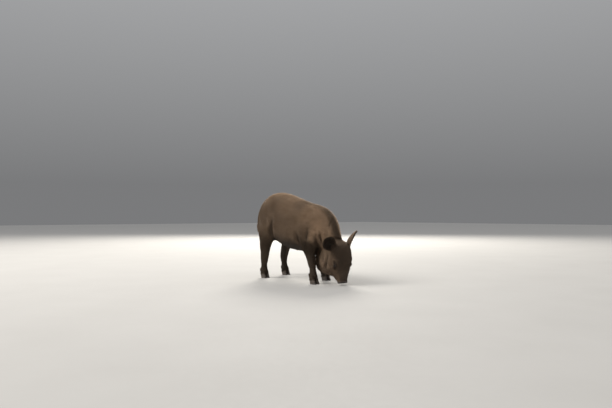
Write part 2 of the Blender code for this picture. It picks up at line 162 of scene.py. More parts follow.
def meshOf(name, points, faces):
    mesh = bpy.data.meshes.new(name)
    mesh.from_pydata([tuple(p) for p in points], [], faces)
    shaped = bmesh.new()
    shaped.from_mesh(mesh)
    bmesh.ops.recalc_face_normals(shaped, faces=shaped.faces)
    shaped.to_mesh(mesh)
    shaped.free()
    mesh.shade_smooth()
    return mesh


def stacked(rings):
    # closed faces over a pile of rings that all have as many points
    around = len(rings[0])
    faces = [tuple(range(around))[::-1]]
    for i in range(len(rings) - 1):
        for k in range(around):
            n = (k + 1) % around
            faces.append((i * around + k, i * around + n, (i + 1) * around + n, (i + 1) * around + k))
    faces.append(tuple(range((len(rings) - 1) * around, len(rings) * around)))
    return np.concatenate(rings), faces


def withModifier(made, kind, **settings):
    tool = made.modifiers.new(kind.title(), kind)
    for name, value in settings.items():
        setattr(tool, name, value)
    graph = bpy.context.evaluated_depsgraph_get()
    mesh = bpy.data.meshes.new_from_object(made.evaluated_get(graph), depsgraph=graph)
    made.modifiers.clear()
    made.data = mesh
    return mesh


# claws: a cloven pair on each foot and two dewclaws behind, horn with growth rings
clawLook = {
    "soleShare": 0.885,  # sole length as a share of the claw's box
    "crownHeight": 0.026,
    "taperLength": 0.24,
    "taperWidth": 0.14,
    "leanBack": 0.0110,
    "crownTilt": 0.16,
    "around": 28,
    "rings": 15,
    "ringDepth": 0.00022,
    "innerFlat": 0.30,  # how much flatter the side by the cleft is
    "soleEdge": 0.0009,
}


def clawRing(node, rise, swell=0.0):
    look = clawLook
    low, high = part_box(node)
    sole = look["soleShare"] * (high.x - low.x)
    middle = high.x - sole / 2 - look["leanBack"] * rise
    length = sole * (1 - look["taperLength"] * rise) + 2 * swell
    width = (high.y - low.y) * (1 - look["taperWidth"] * rise) + 2 * swell
    angle = np.arange(look["around"]) * 2 * np.pi / look["around"]
    cosine, sine = np.cos(angle), np.sin(angle)
    front = np.maximum(cosine, 0)
    footSide = 1 if low.y + high.y > 2 * middleY else -1
    cleft = -footSide if node.endswith("outer") else footSide
    flat = np.where(sine * cleft > 0, 1 - look["innerFlat"] * np.abs(sine), 1)
    x = middle + 0.5 * length * np.sign(cosine) * np.abs(cosine) ** 0.9
    rounded = np.sign(sine) * np.abs(sine) ** 0.8
    y = (low.y + high.y) / 2 + 0.5 * width * rounded * (1 - 0.20 * front**2) * flat
    z = look["crownHeight"] * rise + (x - middle) * look["crownTilt"] * ramp(0.3, 1.0, rise)
    return np.stack([x, y, z], axis=1)


def makeClaw(node):
    look = clawLook
    rings = [clawRing(node, 0.0, -look["soleEdge"])]
    for rise in np.linspace(0.045, 1.12, look["rings"] * 3):
        groove = look["ringDepth"] * math.sin(rise * look["rings"] * 2.1) * (0.4 + 0.6 * rise)
        rings.append(clawRing(node, rise, groove - (0.0030 if rise > 1.05 else 0)))
    rings[0][:, 2] = 0
    return objectOf(f"horn_{node}", meshOf(node, *stacked(rings)))


dewclawLook = {
    "radius": 0.0072, "rootDepth": 0.75, "flatness": 0.78, "rings": 22, "around": 20, "bend": 0.0022,
}


def dewclawAxis(node):
    low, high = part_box(node)
    middle = (low.y + high.y) / 2
    top = Vector((high.x - 0.0085, middle, high.z - 0.0072))
    return top, Vector((low.x + 0.0030, middle, low.z + 0.0018))


def makeDewclaw(node):
    look = dewclawLook
    top, tip = dewclawAxis(node)
    way = (tip - top).normalized()
    across = Vector((0, 1, 0))
    third = way.cross(across)
    rings = []
    for s in np.linspace(0, 1, look["rings"]):
        t = (1 + look["rootDepth"]) * math.sin(s * math.pi / 2) - look["rootDepth"]
        tipRound = math.sqrt(max(1 - max(t - 0.55, 0) ** 2 / 0.205, 0.01))
        radius = look["radius"] * (1 - 0.30 * max(t, 0) ** 1.5) * tipRound
        radius = (radius + 0.00016 * math.sin(t * 34)) * (0.6 + 0.4 * min(1, (t + look["rootDepth"]) / 0.5))
        centre = top + (tip - top) * t + third * (look["bend"] * max(t, 0) ** 2)
        rings.append(np.array([
            centre + across * radius * math.cos(a) + third * radius * look["flatness"] * math.sin(a)
            for a in np.arange(look["around"]) * 2 * math.pi / look["around"]
        ]))
    return objectOf(f"horn_{node}", meshOf(node, *stacked(rings)))


# skin: one closed surface round all the flesh, a coat's depth inside the solids
skinLook = {
    "overlap": 0.0005,  # the pieces of flesh are grown by this so that their cuts close
    "grain": 0.0017,
    "rounds": 84,
    "smoothing": {  # how far each region's facets are smoothed away
        "trunk": 0.50, "neck": 0.42, "foreLegs": 0.16, "hindLegs": 0.18, "head": 0.12, "nose": 0.05,
        "earLeft": 0.030, "earRight": 0.030, "tail": 0.06,
    },
    "coatDepth": {
        "trunk": 0.0034, "neck": 0.0034, "foreLegs": 0.0016, "hindLegs": 0.0018, "head": 0.0013,
        "nose": 0.0003, "earLeft": 0.0007, "earRight": 0.0007, "tail": 0.0010,
    },
    "kept": 0.40,  # share of the triangles that is kept in the end
}
regionNodes = {
    "trunk": ["trunk"], "neck": ["neck"], "head": ["head", "lower_jaw"], "nose": ["nose_disc"],
    "foreLegs": ["fore_leg_left", "fore_leg_right"], "hindLegs": ["hind_leg_left", "hind_leg_right"],
    "earLeft": ["ear_left"], "earRight": ["ear_right"], "tail": ["tail"],
}


def weldedNode(node, grow):
    made = bmesh.new()
    made.from_mesh(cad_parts[node].data)
    bmesh.ops.remove_doubles(made, verts=made.verts, dist=1e-6)
    made.normal_update()
    for vertex in made.verts:
        vertex.co += vertex.normal * grow
    mesh = bpy.data.meshes.new(node)
    made.to_mesh(mesh)
    made.free()
    return mesh


def coronet(node):
    # the rounded rim of skin that the horn grows out of
    rings = [clawRing(node, rise, swell) for rise, swell in
             ((0.70, 0.0004), (0.80, 0.0016), (1.00, 0.0016), (1.25, 0.0004), (1.60, -0.0016))]
    return meshOf("coronet", *stacked(rings))


def dewclawBase(node):
    top, tip = dewclawAxis(node)
    made = bmesh.new()
    place = Matrix.Translation(top + (tip - top) * -0.02)
    radius = dewclawLook["radius"] + 0.0022
    bmesh.ops.create_uvsphere(made, u_segments=20, v_segments=12, radius=radius, matrix=place)
    mesh = bpy.data.meshes.new("dewclawBase")
    made.to_mesh(mesh)
    made.free()
    return mesh


def joinFlesh():
    meshes = [weldedNode(node, skinLook["overlap"]) for node in fleshNodes + ["eye_left", "eye_right"]]
    meshes += [coronet(node) for node in clawNodes]
    meshes += [dewclawBase(node) for node in dewclawNodes]
    whole = bmesh.new()
    for mesh in meshes:
        whole.from_mesh(mesh)
    joined = bpy.data.meshes.new("skin")
    whole.to_mesh(joined)
    whole.free()
    return objectOf("skin", joined)


def keepLargest(mesh):
    # drops the tiny closed bubbles that a remesh can leave inside
    shaped = bmesh.new()
    shaped.from_mesh(mesh)
    waiting = set(shaped.verts)
    bodies = []
    while waiting:
        first = waiting.pop()
        body, edge = [first], [first]
        while edge:
            for link in edge.pop().link_edges:
                for other in link.verts:
                    if other in waiting:
                        waiting.remove(other)
                        body.append(other)
                        edge.append(other)
        bodies.append(body)
    bodies.sort(key=len)
    for body in bodies[:-1]:
        bmesh.ops.delete(shaped, geom=body, context="VERTS")
    shaped.to_mesh(mesh)
    shaped.free()


def regionShares(points, edges):
    # for every point, how much it belongs to each region, blended over the borders
    trees, owners, corners, start = [], [], [], 0
    names = list(regionNodes)
    for number, name in enumerate(names):
        for node in regionNodes[name]:
            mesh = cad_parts[node].data
            corners.append(pointsOf(mesh))
            trees += [tuple(start + i for i in face.vertices) for face in mesh.polygons]
            owners += [number] * len(mesh.polygons)
            start += len(mesh.vertices)
    tree = BVHTree.FromPolygons(np.concatenate(corners).tolist(), trees)
    nearest = np.array([owners[tree.find_nearest(Vector(p))[2]] for p in points])
    near = soften(np.eye(len(names))[nearest], edges, 14)
    wide = soften(near, edges, 70)
    # ears, nose and tail keep a crisp border, the rest of the body runs together softly
    small = [names.index(name) for name in ("nose", "earLeft", "earRight", "tail")]
    large = [number for number in range(len(names)) if number not in small]
    left = 1 - near[:, small].sum(1, keepdims=True)
    near[:, large] = left * wide[:, large] / np.maximum(wide[:, large].sum(1, keepdims=True), 1e-6)
    return {name: near[:, number] for number, name in enumerate(names)}


def blended(shares, amounts):
    return sum(shares[name] * amounts[name] for name in amounts)


# muscles and bones that show as soft swellings: place, reach and height, on both sides where out isn't 0
swellings = [
    (bodyPoint(0.475, 0.95, 0.36), 0.052, 0.0060),  # flank, full before the thigh
    (bodyPoint(0.842, 0.88, 0.30), 0.034, 0.0035),  # skin over the elbow
    (bodyPoint(0.875, 0.80, 0.46), 0.062, 0.0050),  # upper arm
    (bodyPoint(0.860, 0.52, 0.78), 0.050, 0.0035),  # shoulder blade
    (bodyPoint(0.240, 0.90, 0.42), 0.075, 0.0050),  # thigh
    (bodyPoint(0.360, 0.62, 0.78), 0.040, 0.0025),  # point of the hip
    (bodyPoint(0.070, 0.45, 0.62), 0.040, 0.0030),  # seat bone
    (headPoint(0.094, -0.070, 0.070), 0.020, 0.0030),  # jowl
    (headPoint(0.122, -0.095, 0.067), 0.022, 0.0034),
    (headPoint(0.122, -0.014, 0.046), 0.015, 0.0026),  # brow
    (headPoint(0.150, -0.052, 0.056), 0.020, 0.0020),  # cheekbone
    (headPoint(0.062, -0.008, 0.020), 0.030, 0.0020),  # forehead
]
teats = {"pairs": 6, "from": 0.30, "to": 0.80, "out": 0.26, "reach": 0.0060, "height": 0.0040}
swellings += [
    (bodyPoint(along, teats["out"], 0.0), teats["reach"], teats["height"])
    for along in np.linspace(teats["from"], teats["to"], teats["pairs"])
]

foreStep = 0.024  # how far the left elbow is behind the right one

# folds and creases: the points they run through, how wide and deep, and how high their banks are
folds = [
    ([bodyPoint(0.900, 0.74, 0.52), bodyPoint(0.932, 0.86, 0.34), bodyPoint(0.930, 0.90, 0.20),
      bodyPoint(0.925, 0.84, 0.06)], 0.0140, 0.0062, 0.0026),  # before the elbow's skin
    ([bodyPoint(0.806, 0.90, 0.42), bodyPoint(0.784, 0.84, 0.20), bodyPoint(0.790, 0.72, 0.02)],
     0.0140, 0.0062, 0.0026),  # behind the elbow
    ([bodyPoint(0.400, 0.90, 0.68), bodyPoint(0.378, 0.92, 0.44), bodyPoint(0.345, 0.86, 0.27),
      bodyPoint(0.322, 0.72, 0.12)], 0.0190, 0.0095, 0.0036),  # before the thigh
    ([bodyPoint(1.000, 0.62, 0.34), bodyPoint(1.030, 0.56, 0.22), bodyPoint(1.050, 0.36, 0.10)],
     0.0075, 0.0042, 0.0022),  # where the jowl meets the neck
    ([bodyPoint(0.955, 0.66, 0.42), bodyPoint(0.975, 0.62, 0.24), bodyPoint(0.985, 0.50, 0.08)],
     0.0085, 0.0036, 0.0020),
    ([headPoint(0.070, -0.098, 0.064), headPoint(0.105, -0.118, 0.068), headPoint(0.140, -0.110, 0.055)],
     0.0080, 0.0022, 0.0010),  # under the jowl
    ([headPoint(0.066, -0.034, 0.068), headPoint(0.098, -0.048, 0.071), headPoint(0.122, -0.061, 0.070),
      headPoint(0.147, -0.081, 0.062), headPoint(0.162, -0.098, 0.050)],
     0.0080, 0.0040, 0.0016),  # before the jowl
]


def press(points, normals, surface, path, width, depth, bank, ends=0.48):
    # carves a line through the path's points, pulled onto the surface, with a low bank on either side
    stops = np.array([tuple(surface.find_nearest(p)[0]) for p in path])
    t = np.linspace(0, len(stops) - 1, 30 * len(stops))
    line = np.stack([np.interp(t, np.arange(len(stops)), stops[:, k]) for k in range(3)], axis=1)
    for _ in range(60):
        line[1:-1] = (line[:-2] + 2 * line[1:-1] + line[2:]) / 4
    line = np.array([tuple(surface.find_nearest(Vector(p))[0]) for p in line])
    reach = 4 * width
    near = np.flatnonzero(np.all((points > line.min(0) - reach) & (points < line.max(0) + reach), axis=1))
    gaps = np.linalg.norm(points[near][:, None] - line[None], axis=2)
    closest = gaps.argmin(1)
    gap = gaps.min(1) / width
    share = closest / (len(line) - 1)
    fade = ramp(0, ends, share) * ramp(0, ends, 1 - share)
    move = fade * (bank * np.exp(-((gap - 2.0) ** 2)) - depth * np.exp(-(gap**2)))
    points[near] += normals[near] * move[:, None]


def mirrored(place):
    # the left side; its foreleg stands further back, and the skin around it with it
    atLeg = max(0, 1 - abs((place.x - trunkLow.x) / bodyLength - 0.86) / 0.12)
    return Vector((place.x - foreStep * atLeg, 2 * middleY - place.y, place.z))


def shapeBody(mesh):
    points, normals = pointsOf(mesh), normalsOf(mesh)
    surface = BVHTree.FromPolygons(points.tolist(), [tuple(face.vertices) for face in mesh.polygons])
    for place, reach, height in swellings:
        for centre in (place, mirrored(place)):
            centre = surface.find_nearest(centre)[0]
            gap = np.linalg.norm(points - np.array(centre), axis=1) / reach
            points += normals * (height * np.exp(-2.2 * gap**2))[:, None]
    for path, width, depth, bank in folds:
        for way in (path, [mirrored(p) for p in path]):
            press(points, normals, surface, way, width, depth, bank)
    setPoints(mesh, soften(points, edgesOf(mesh), 2))


def makeSkin():
    look = skinLook
    skin = joinFlesh()
    mesh = withModifier(skin, "REMESH", mode="VOXEL", voxel_size=look["grain"], adaptivity=0.0)
    keepLargest(mesh)
    points, edges = pointsOf(mesh), edgesOf(mesh)
    shares = regionShares(points, edges)
    feet = ramp(0.075, 0.045, points[:, 2]) * (shares["foreLegs"] + shares["hindLegs"])
    share = blended(shares, look["smoothing"]) * (1 - 0.55 * feet)
    setPoints(mesh, soften(points, edges, look["rounds"], share))
    depth = blended(shares, look["coatDepth"]) * (1 - 0.5 * feet)
    depth = soften(depth[:, None], edges, 10)
    setPoints(mesh, pointsOf(mesh) - normalsOf(mesh) * depth)
    shapeBody(mesh)
    group = skin.vertex_groups.new(name="plain")
    plain = np.clip(shares["trunk"] + shares["neck"] + 0.3 * (shares["foreLegs"] + shares["hindLegs"]), 0, 1)
    for level in range(11):
        group.add(np.flatnonzero(np.round(plain * 10) == level).tolist(), level / 10, "REPLACE")
    before = len(mesh.polygons) * 2
    withModifier(skin, "DECIMATE", ratio=look["kept"], vertex_group="plain")
    print("pig: skin", len(skin.data.polygons), "triangles, from", before)
    return skin


# the fine shapes of the head are carved after the skin is thinned, on a mesh made finer there
headLook = {
    "noseTip": 0.2395, "noseRim": 0.2335, "noseNeck": 0.2245,  # how far down the head
    "rimFlare": 0.0022, "neckDip": 0.0012,
    "nostril": (-0.0330, 0.0108), "nostrilReach": (0.0044, 0.0034), "nostrilDepth": 0.0065,
    "mouth": [(0.231, -0.047, 0.018), (0.214, -0.051, 0.026), (0.194, -0.058, 0.035),
              (0.175, -0.068, 0.046), (0.160, -0.080, 0.054), (0.152, -0.083, 0.058)],
    "wrinkles": [  # across the top of the snout: how far down, how it slopes, how far to a side, how deep
        (0.2175, 0.0010, 0.030, 0.0011), (0.2112, -0.0012, 0.024, 0.0008), (0.2040, 0.0004, 0.028, 0.0010),
        (0.1950, 0.0016, 0.018, 0.0006), (0.1850, -0.0010, 0.022, 0.0007),
    ],
    "unwrapAngle": math.radians(66), "middle": (0.120, -0.050, 0), "reach": 0.130, "longest": 0.0027,
}
lidLook = {
    "length": 0.0086, "up": 0.0044, "down": 0.0034, "turn": math.radians(-12),
    "edge": 0.0005, "stand": 0.0013, "blend": 0.0045, "deep": 0.0024,
    # how far off each crease is, how wide and how deep
    "creaseUp": (0.0052, 0.0009, 0.0008), "creaseDown": (0.0044, 0.0010, 0.0006),
}
nosePlace = headPoint(headLook["noseRim"], -0.034, 0)


def eyeFrame(side, points, normals):
    low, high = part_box(f"eye_{side}")
    centre = (low + high) / 2
    gap = np.linalg.norm(points - np.array(centre), axis=1)
    gaze = Vector(normals[(gap > 0.012) & (gap < 0.022)].mean(0)).normalized()
    length = (downHead - gaze * downHead.dot(gaze)).normalized()
    upper = gaze.cross(length)
    if upper.dot(toForehead) < 0:
        upper = -upper
    cosine, sine = math.cos(lidLook["turn"]), math.sin(lidLook["turn"])
    length, upper = length * cosine + upper * sine, upper * cosine - length * sine
    return {"centre": centre, "gaze": gaze, "length": length, "upper": upper, "radius": (high.z - low.z) / 2}


def refined(mesh, zones):
    shaped = bmesh.new()
    shaped.from_mesh(mesh)
    # first the long triangles that thinning left on the flat parts of the head
    middle = headPoint(*headLook["middle"])
    for _ in range(2):
        split = [edge for edge in shaped.edges if edge.calc_length() > headLook["longest"]
                 and (edge.verts[0].co - middle).length < headLook["reach"]]
        bmesh.ops.subdivide_edges(shaped, edges=split, cuts=1)
        bmesh.ops.triangulate(shaped, faces=[face for face in shaped.faces if len(face.verts) > 3])
    for places, reach in zones:
        reachSquared = reach * reach
        inside = {
            vertex for vertex in shaped.verts
            if min((vertex.co - place).length_squared for place in places) < reachSquared
        }
        split = [edge for edge in shaped.edges if edge.verts[0] in inside and edge.verts[1] in inside]
        bmesh.ops.subdivide_edges(shaped, edges=split, cuts=1, use_grid_fill=True)
        bmesh.ops.triangulate(shaped, faces=[face for face in shaped.faces if len(face.verts) > 3])
    shaped.to_mesh(mesh)
    shaped.free()


def shapeLids(points, eye):
    look, radius = lidLook, eye["radius"]
    centre, gaze = np.array(eye["centre"]), np.array(eye["gaze"])
    length, upper = np.array(eye["length"]), np.array(eye["upper"])
    away = points - centre
    gap = np.linalg.norm(away, axis=1)
    near = np.flatnonzero((gap < 3.0 * radius) & (away @ gaze > 0.15 * gap))
    gap = gap[near]
    ray = away[near] / gap[:, None]
    u, v = ray @ length * radius, ray @ upper * radius
    # the opening is a lens shape: 1 on its rim, found along each point's own direction
    across = np.abs(v) / np.where(v > 0, look["up"], look["down"])
    along = np.maximum((u / look["length"]) ** 2, 1e-9)
    scale = (np.sqrt(across**2 + 4 * along) - across) / (2 * along)
    off = (1 - scale) * np.hypot(u, v)
    onRim = np.abs(off) < 0.00034
    turned = gaze * np.sqrt(np.maximum(1 - (scale**2) * (u**2 + v**2) / radius**2, 0.05))[:, None]
    turned += (scale * u / radius)[:, None] * length + (scale * v / radius)[:, None] * upper
    ray = np.where(onRim[:, None], unit(turned), ray)
    off = np.where(onRim, 0, off)
    stand = radius + look["edge"] + (look["stand"] - look["edge"]) * ramp(0, 0.0010, off)
    outside = 0.5 * (stand + gap + np.sqrt((stand - gap) ** 2 + look["blend"] ** 2)) - 0.25 * look["blend"]
    outside = stand + (outside - stand) * ramp(0.0006, 0.0070, off)
    outside = outside + (gap - outside) * ramp(0.008, 0.016, off)
    for crease, side in ((look["creaseUp"], ramp(0, 0.003, v)), (look["creaseDown"], ramp(0, 0.003, -v))):
        middle = np.exp(-((u / look["length"]) ** 2))
        outside -= side * middle * crease[2] * np.exp(-(((off - crease[0]) / crease[1]) ** 2))
    points[near] = centre + ray * np.where(off < -1e-9, radius - look["deep"], outside)[:, None]


def shapeNose(points):
    look = headLook
    away = points - np.array(poll)
    down = away @ np.array(downHead)
    forward = away @ np.array(toForehead)
    across = away[:, 1]
    near = (down > look["noseNeck"] - 0.012) & (points[:, 2] < 0.06) & (forward > -0.075)
    centre = -0.0345
    radial = np.stack([forward - centre, across], axis=1)
    length = np.maximum(np.linalg.norm(radial, axis=1), 1e-6)
    flare = look["rimFlare"] * np.exp(-(((down - look["noseRim"]) / 0.0042) ** 2))
    flare -= look["neckDip"] * np.exp(-(((down - look["noseNeck"]) / 0.0035) ** 2))
    flare *= near * ramp(0.006, 0.016, length)
    outward = (radial / length[:, None]) * flare[:, None]
    points += outward[:, :1] * np.array(toForehead) + outward[:, 1:] * np.array((0, 1, 0))
    # the face of the nose is flat, with two nostrils pressed into it
    excess = np.where(near, np.maximum(down - look["noseTip"] + 0.0016, 0), 0)
    points -= (0.75 * excess)[:, None] * np.array(downHead)
    forwardAt, acrossAt = look["nostril"]
    for side in (-1, 1):
        deepReach, wideReach = look["nostrilReach"]
        ring = np.hypot((forward - forwardAt) / deepReach, (across - side * acrossAt) / wideReach)
        pit = look["nostrilDepth"] * ramp(1.25, 0.45, ring) * near * (down > look["noseRim"] - 0.004)
        points -= pit[:, None] * np.array(downHead)


def shapeHead(mesh):
    look = headLook
    points, normals = pointsOf(mesh), normalsOf(mesh)
    eyes = {side: eyeFrame(side, points, normals) for side in sides}
    eyePlaces = [eye["centre"] for eye in eyes.values()]
    mouthPlaces = [headPoint(d, f, a * s) for d, f, a in look["mouth"] for s in (-1, 1)]
    nostrils = [headPoint(look["noseTip"], look["nostril"][0], look["nostril"][1] * s) for s in (-1, 1)]
    refined(mesh, [
        (eyePlaces, 0.025), (eyePlaces, 0.018), (mouthPlaces, 0.011), ([nosePlace], 0.034), (nostrils, 0.011),
    ])
    points, normals = pointsOf(mesh), normalsOf(mesh)
    surface = BVHTree.FromPolygons(points.tolist(), [tuple(face.vertices) for face in mesh.polygons])
    for side in (-1, 1):
        path = [headPoint(d, f, a * side) for d, f, a in look["mouth"]]
        press(points, normals, surface, path, 0.0015, 0.0024, 0.0007, ends=0.25)
        tear = [headPoint(0.152, -0.024, 0.044 * side), headPoint(0.166, -0.020, 0.038 * side)]
        press(points, normals, surface, tear, 0.0022, 0.0012, 0.0004, ends=0.3)
    for down, slope, reach, depth in look["wrinkles"]:
        path = [headPoint(down - 0.004 - slope, -0.028, -reach), headPoint(down, -0.012, 0),
                headPoint(down - 0.004 + slope, -0.028, reach)]
        press(points, normals, surface, path, 0.0020, depth, 0.4 * depth, ends=0.45)
    shapeNose(points)
    for eye in eyes.values():
        shapeLids(points, eye)
    setPoints(mesh, points)
    mesh.shade_smooth()
    print("pig: head made finer,", len(mesh.polygons), "triangles")
    return eyes


def unwrapSkin(made):
    made.data.uv_layers.new(name="OFBake")
    bpy.context.view_layer.objects.active = made
    made.select_set(True)
    bpy.ops.object.mode_set(mode="EDIT")
    bpy.ops.mesh.select_all(action="SELECT")
    bpy.ops.uv.smart_project(angle_limit=headLook["unwrapAngle"], island_margin=0.001)
    bpy.ops.object.mode_set(mode="OBJECT")
    made.select_set(False)


skin = makeSkin()
eyeFrames = shapeHead(skin.data)
unwrapSkin(skin)
print("pig: head shaped and skin unwrapped,", len(skin.data.polygons), "triangles")

# eyes: dark balls with a cornea that stands out a little
eyeLook = {
    "fit": 0.985, "cornea": 0.0011, "corneaSpread": math.radians(40), "iris": 0.62, "pupil": 0.26,
    "segments": 40,
}


def makeEye(side):
    look, eye = eyeLook, eyeFrames[side]
    shaped = bmesh.new()
    around = look["segments"]
    bmesh.ops.create_uvsphere(shaped, u_segments=around, v_segments=around // 2 + 6, radius=1)
    axis = []
    for vertex in shaped.verts:
        tilt = math.acos(max(-1, min(1, vertex.co.z)))
        rise = look["cornea"] * max(0, 1 - (tilt / look["corneaSpread"]) ** 2)
        axis.append(math.sin(tilt) if vertex.co.z > 0 else 1.0)
        vertex.co *= eye["radius"] * look["fit"] + rise
    mesh = bpy.data.meshes.new(f"eyeball_{side}")
    shaped.to_mesh(mesh)
    shaped.free()
    addNumbers(mesh, "fromAxis", np.array(axis))
    mesh.transform(eye["gaze"].to_track_quat("Z", "Y").to_matrix().to_4x4())
    mesh.transform(Matrix.Translation(eye["centre"]))
    mesh.shade_smooth()
    return objectOf(f"eyeball_{side}", mesh)


eyeballs = {side: makeEye(side) for side in sides}
claws = {node: makeClaw(node) for node in clawNodes}
dewclaws = {node: makeDewclaw(node) for node in dewclawNodes}
print("pig: eyes, claws and dewclaws made")


# which way the hair lies at every point, and how dark the coat is there, painted shade and light included;
# skin and coat share these
lieLook = {"flankFall": 0.38, "rumpFall": 1.1, "legLean": -0.10, "wander": 0.22, "wanderSize": 0.055}
# tone factors: under the belly, under the jaw, inside the legs, on the face turned forward, in grooves and in
# the ear hollows they are painted shade; on the neck sides, the shoulder, ridges and ear rims they are
# painted light; the crest's is the mane's darker hair with painted shade
toneLook = {
    "belly": 0.24, "underJaw": 0.55, "legs": 0.52, "lowerLeg": 0.84, "innerLegShade": 0.60, "face": 0.66,
    "earHollowShade": 0.42, "earRimLight": 1.10, "cheek": 0.95, "neckSide": 1.75, "shoulder": 1.25, "crest": 0.60,
    "eyeRing": 0.55, "patches": 0.14, "patchSize": 0.11, "groove": 0.66, "ridge": 1.25, "relief": 0.00055,
}


def placeShares(points, normals, shares):
    # soft masks that the lie, the tone and the coat pieces are all made of
    along = (points[:, 0] - trunkLow.x) / bodyLength
    up = (points[:, 2] - bellyHeight) / bodyDepth
    side = np.sign(points[:, 1] - middleY)
    away = points - np.array(poll)
    down, forward = away @ np.array(downHead), away @ np.array(toForehead)
    legs = shares["foreLegs"] + shares["hindLegs"]
    body = shares["trunk"] + shares["neck"]
    return {
        "along": along, "up": up, "side": side, "down": down, "forward": forward,
        "legs": legs, "lowLegs": legs * ramp(0.30, 0.18, points[:, 2]),
        "head": shares["head"] + shares["nose"], "trunk": shares["trunk"], "neck": shares["neck"],
        "foreLegs": shares["foreLegs"], "hindLegs": shares["hindLegs"], "tail": shares["tail"],
        "top": body * ramp(0.35, 0.85, normals[:, 2]),
        "belly": body * ramp(-0.25, -0.80, normals[:, 2]),
        "rear": shares["trunk"] * ramp(0.16, 0.03, along),
        "inner": legs * ramp(0.25, 0.8, -side * normals[:, 1]),
        "foot": legs * ramp(0.085, 0.045, points[:, 2]),
        "cheek": shares["head"] * ramp(0.35, 0.85, np.abs(normals[:, 1])) * ramp(-0.035, -0.07, forward),
        "neckSide": shares["neck"] * ramp(0.08, 0.45, np.abs(normals[:, 1])),
        "front": shares["head"] * ramp(0.35, 0.85, normals @ np.array(toForehead)),
        "underJaw": shares["head"] * ramp(-0.2, -0.8, normals @ np.array(toForehead)),
    }


earWays = {"earRight": Vector((0.16, -0.86, 0.48)), "earLeft": Vector((-0.12, 0.46, 0.85))}
earHollows = {"earRight": Vector((0.90, -0.05, -0.42)), "earLeft": Vector((0.68, 0.56, -0.48))}


def lidRing(points, eye):
    # 1 along the rim of the lids, growing away from it
    away = points - np.array(eye["centre"])
    along = away @ np.array(eye["length"]) / lidLook["length"]
    across = away @ np.array(eye["upper"]) / (0.5 * (lidLook["up"] + lidLook["down"]))
    return np.hypot(along, across) + 9 * (away @ np.array(eye["gaze"]) < 0)


def lieOf(points, normals, shares, places):
    look = lieLook
    sideways = np.abs(normals[:, 1])
    ways = {name: np.zeros_like(points) for name in ("trunk", "neck", "head", "legs", "tail")}
    rear = ramp(0.16, 0.03, places["along"])
    ways["trunk"][:, 0] = -1 + 0.7 * rear
    ways["trunk"][:, 2] = -look["flankFall"] * sideways - look["rumpFall"] * rear
    ways["neck"][:, 0] = -0.75 - 0.25 * sideways
    ways["neck"][:, 2] = 0.66 - 0.50 * sideways
    back = ramp(-0.04, -0.10, places["forward"])
    ways["head"] -= np.array(downHead) * (1 - 0.25 * back)[:, None]
    ways["head"][:, 0] -= 0.55 * back
    ways["head"][:, 1] += 0.25 * places["side"] * ramp(0.010, 0.045, np.abs(points[:, 1] - middleY))
    ways["legs"][:, 0] = look["legLean"] + 0.30 * places["foot"]
    ways["legs"][:, 2] = -1
    ways["tail"][:, 2] = -1
    made = sum(places[name][:, None] * ways[name] for name in ways)
    for name, way in earWays.items():
        made += shares[name][:, None] * np.array(way)
    for eye in eyeFrames.values():
        away = unit(points - np.array(eye["centre"]))
        made += 1.1 * away * ramp(3.2, 1.4, lidRing(points, eye))[:, None]
    made += look["wander"] * wander(points, look["wanderSize"], 5)
    made -= normals * np.sum(made * normals, axis=1)[:, None]
    return unit(made)


def reliefOf(points, normals):
    # how far every point stands above its surroundings, below 0 in a groove
    wide = soften(points, skinEdges, 26)
    fine = soften(points, skinEdges, 3)
    return soften(np.sum((fine - wide) * normals, axis=1)[:, None], skinEdges, 3)[:, 0]


def toneOf(points, normals, shares, places):
    look = toneLook
    tone = np.ones(len(points))
    # painted shade under the belly, under the jaw, on the inner sides of the legs and on the face where it
    # turns forward; painted light on the sides of the neck; the lower legs are darker hair with some painted
    # shade
    for name, amount in (("belly", look["belly"]), ("lowLegs", look["legs"]), ("inner", look["innerLegShade"]),
                         ("foot", look["lowerLeg"]), ("front", look["face"]), ("underJaw", look["underJaw"]),
                         ("cheek", look["cheek"]), ("neckSide", look["neckSide"])):
        tone *= 1 + (amount - 1) * np.clip(places[name], 0, 1)
    # painted highlight on the shoulder blade, where light from above catches it
    blade = np.array(bodyPoint(0.86, 0.5, 0.72))
    shoulder = np.linalg.norm(points - blade * (1, 0, 1) - np.outer(points[:, 1], (0, 1, 0)), axis=1)
    tone *= 1 + (look["shoulder"] - 1) * places["trunk"] * ramp(0.10, 0.02, shoulder)
    # darker along the crest of the back and neck: the mane's own darker hair with painted shade
    crest = ramp(0.58, 0.80, places["along"]) * np.clip(places["trunk"] + places["neck"], 0, 1)
    tone *= 1 + (look["crest"] - 1) * crest * ramp(0.032, 0.012, np.abs(points[:, 1] - middleY))
    for eye in eyeFrames.values():
        tone *= 1 + (look["eyeRing"] - 1) * ramp(3.2, 1.6, lidRing(points, eye))
    # painted shade in the grooves and a painted highlight on the ridges
    level = reliefOf(points, normals) / look["relief"]
    tone *= 1 + (look["groove"] - 1) * ramp(0.15, 1.3, -level) + (look["ridge"] - 1) * ramp(0.15, 1.3, level)
    # painted shade inside the ear hollows and a painted highlight along the ear rims
    for name, hollow in earHollows.items():
        facing = normals @ np.array(hollow.normalized())
        tone *= 1 + (look["earHollowShade"] - 1) * shares[name] * ramp(0.1, 0.7, facing)
        tone *= 1 + (look["earRimLight"] - 1) * shares[name] * ramp(0.5, 0.1, np.abs(facing))
    return tone * (1 + look["patches"] * wander(points, look["patchSize"], 9)[:, 0])


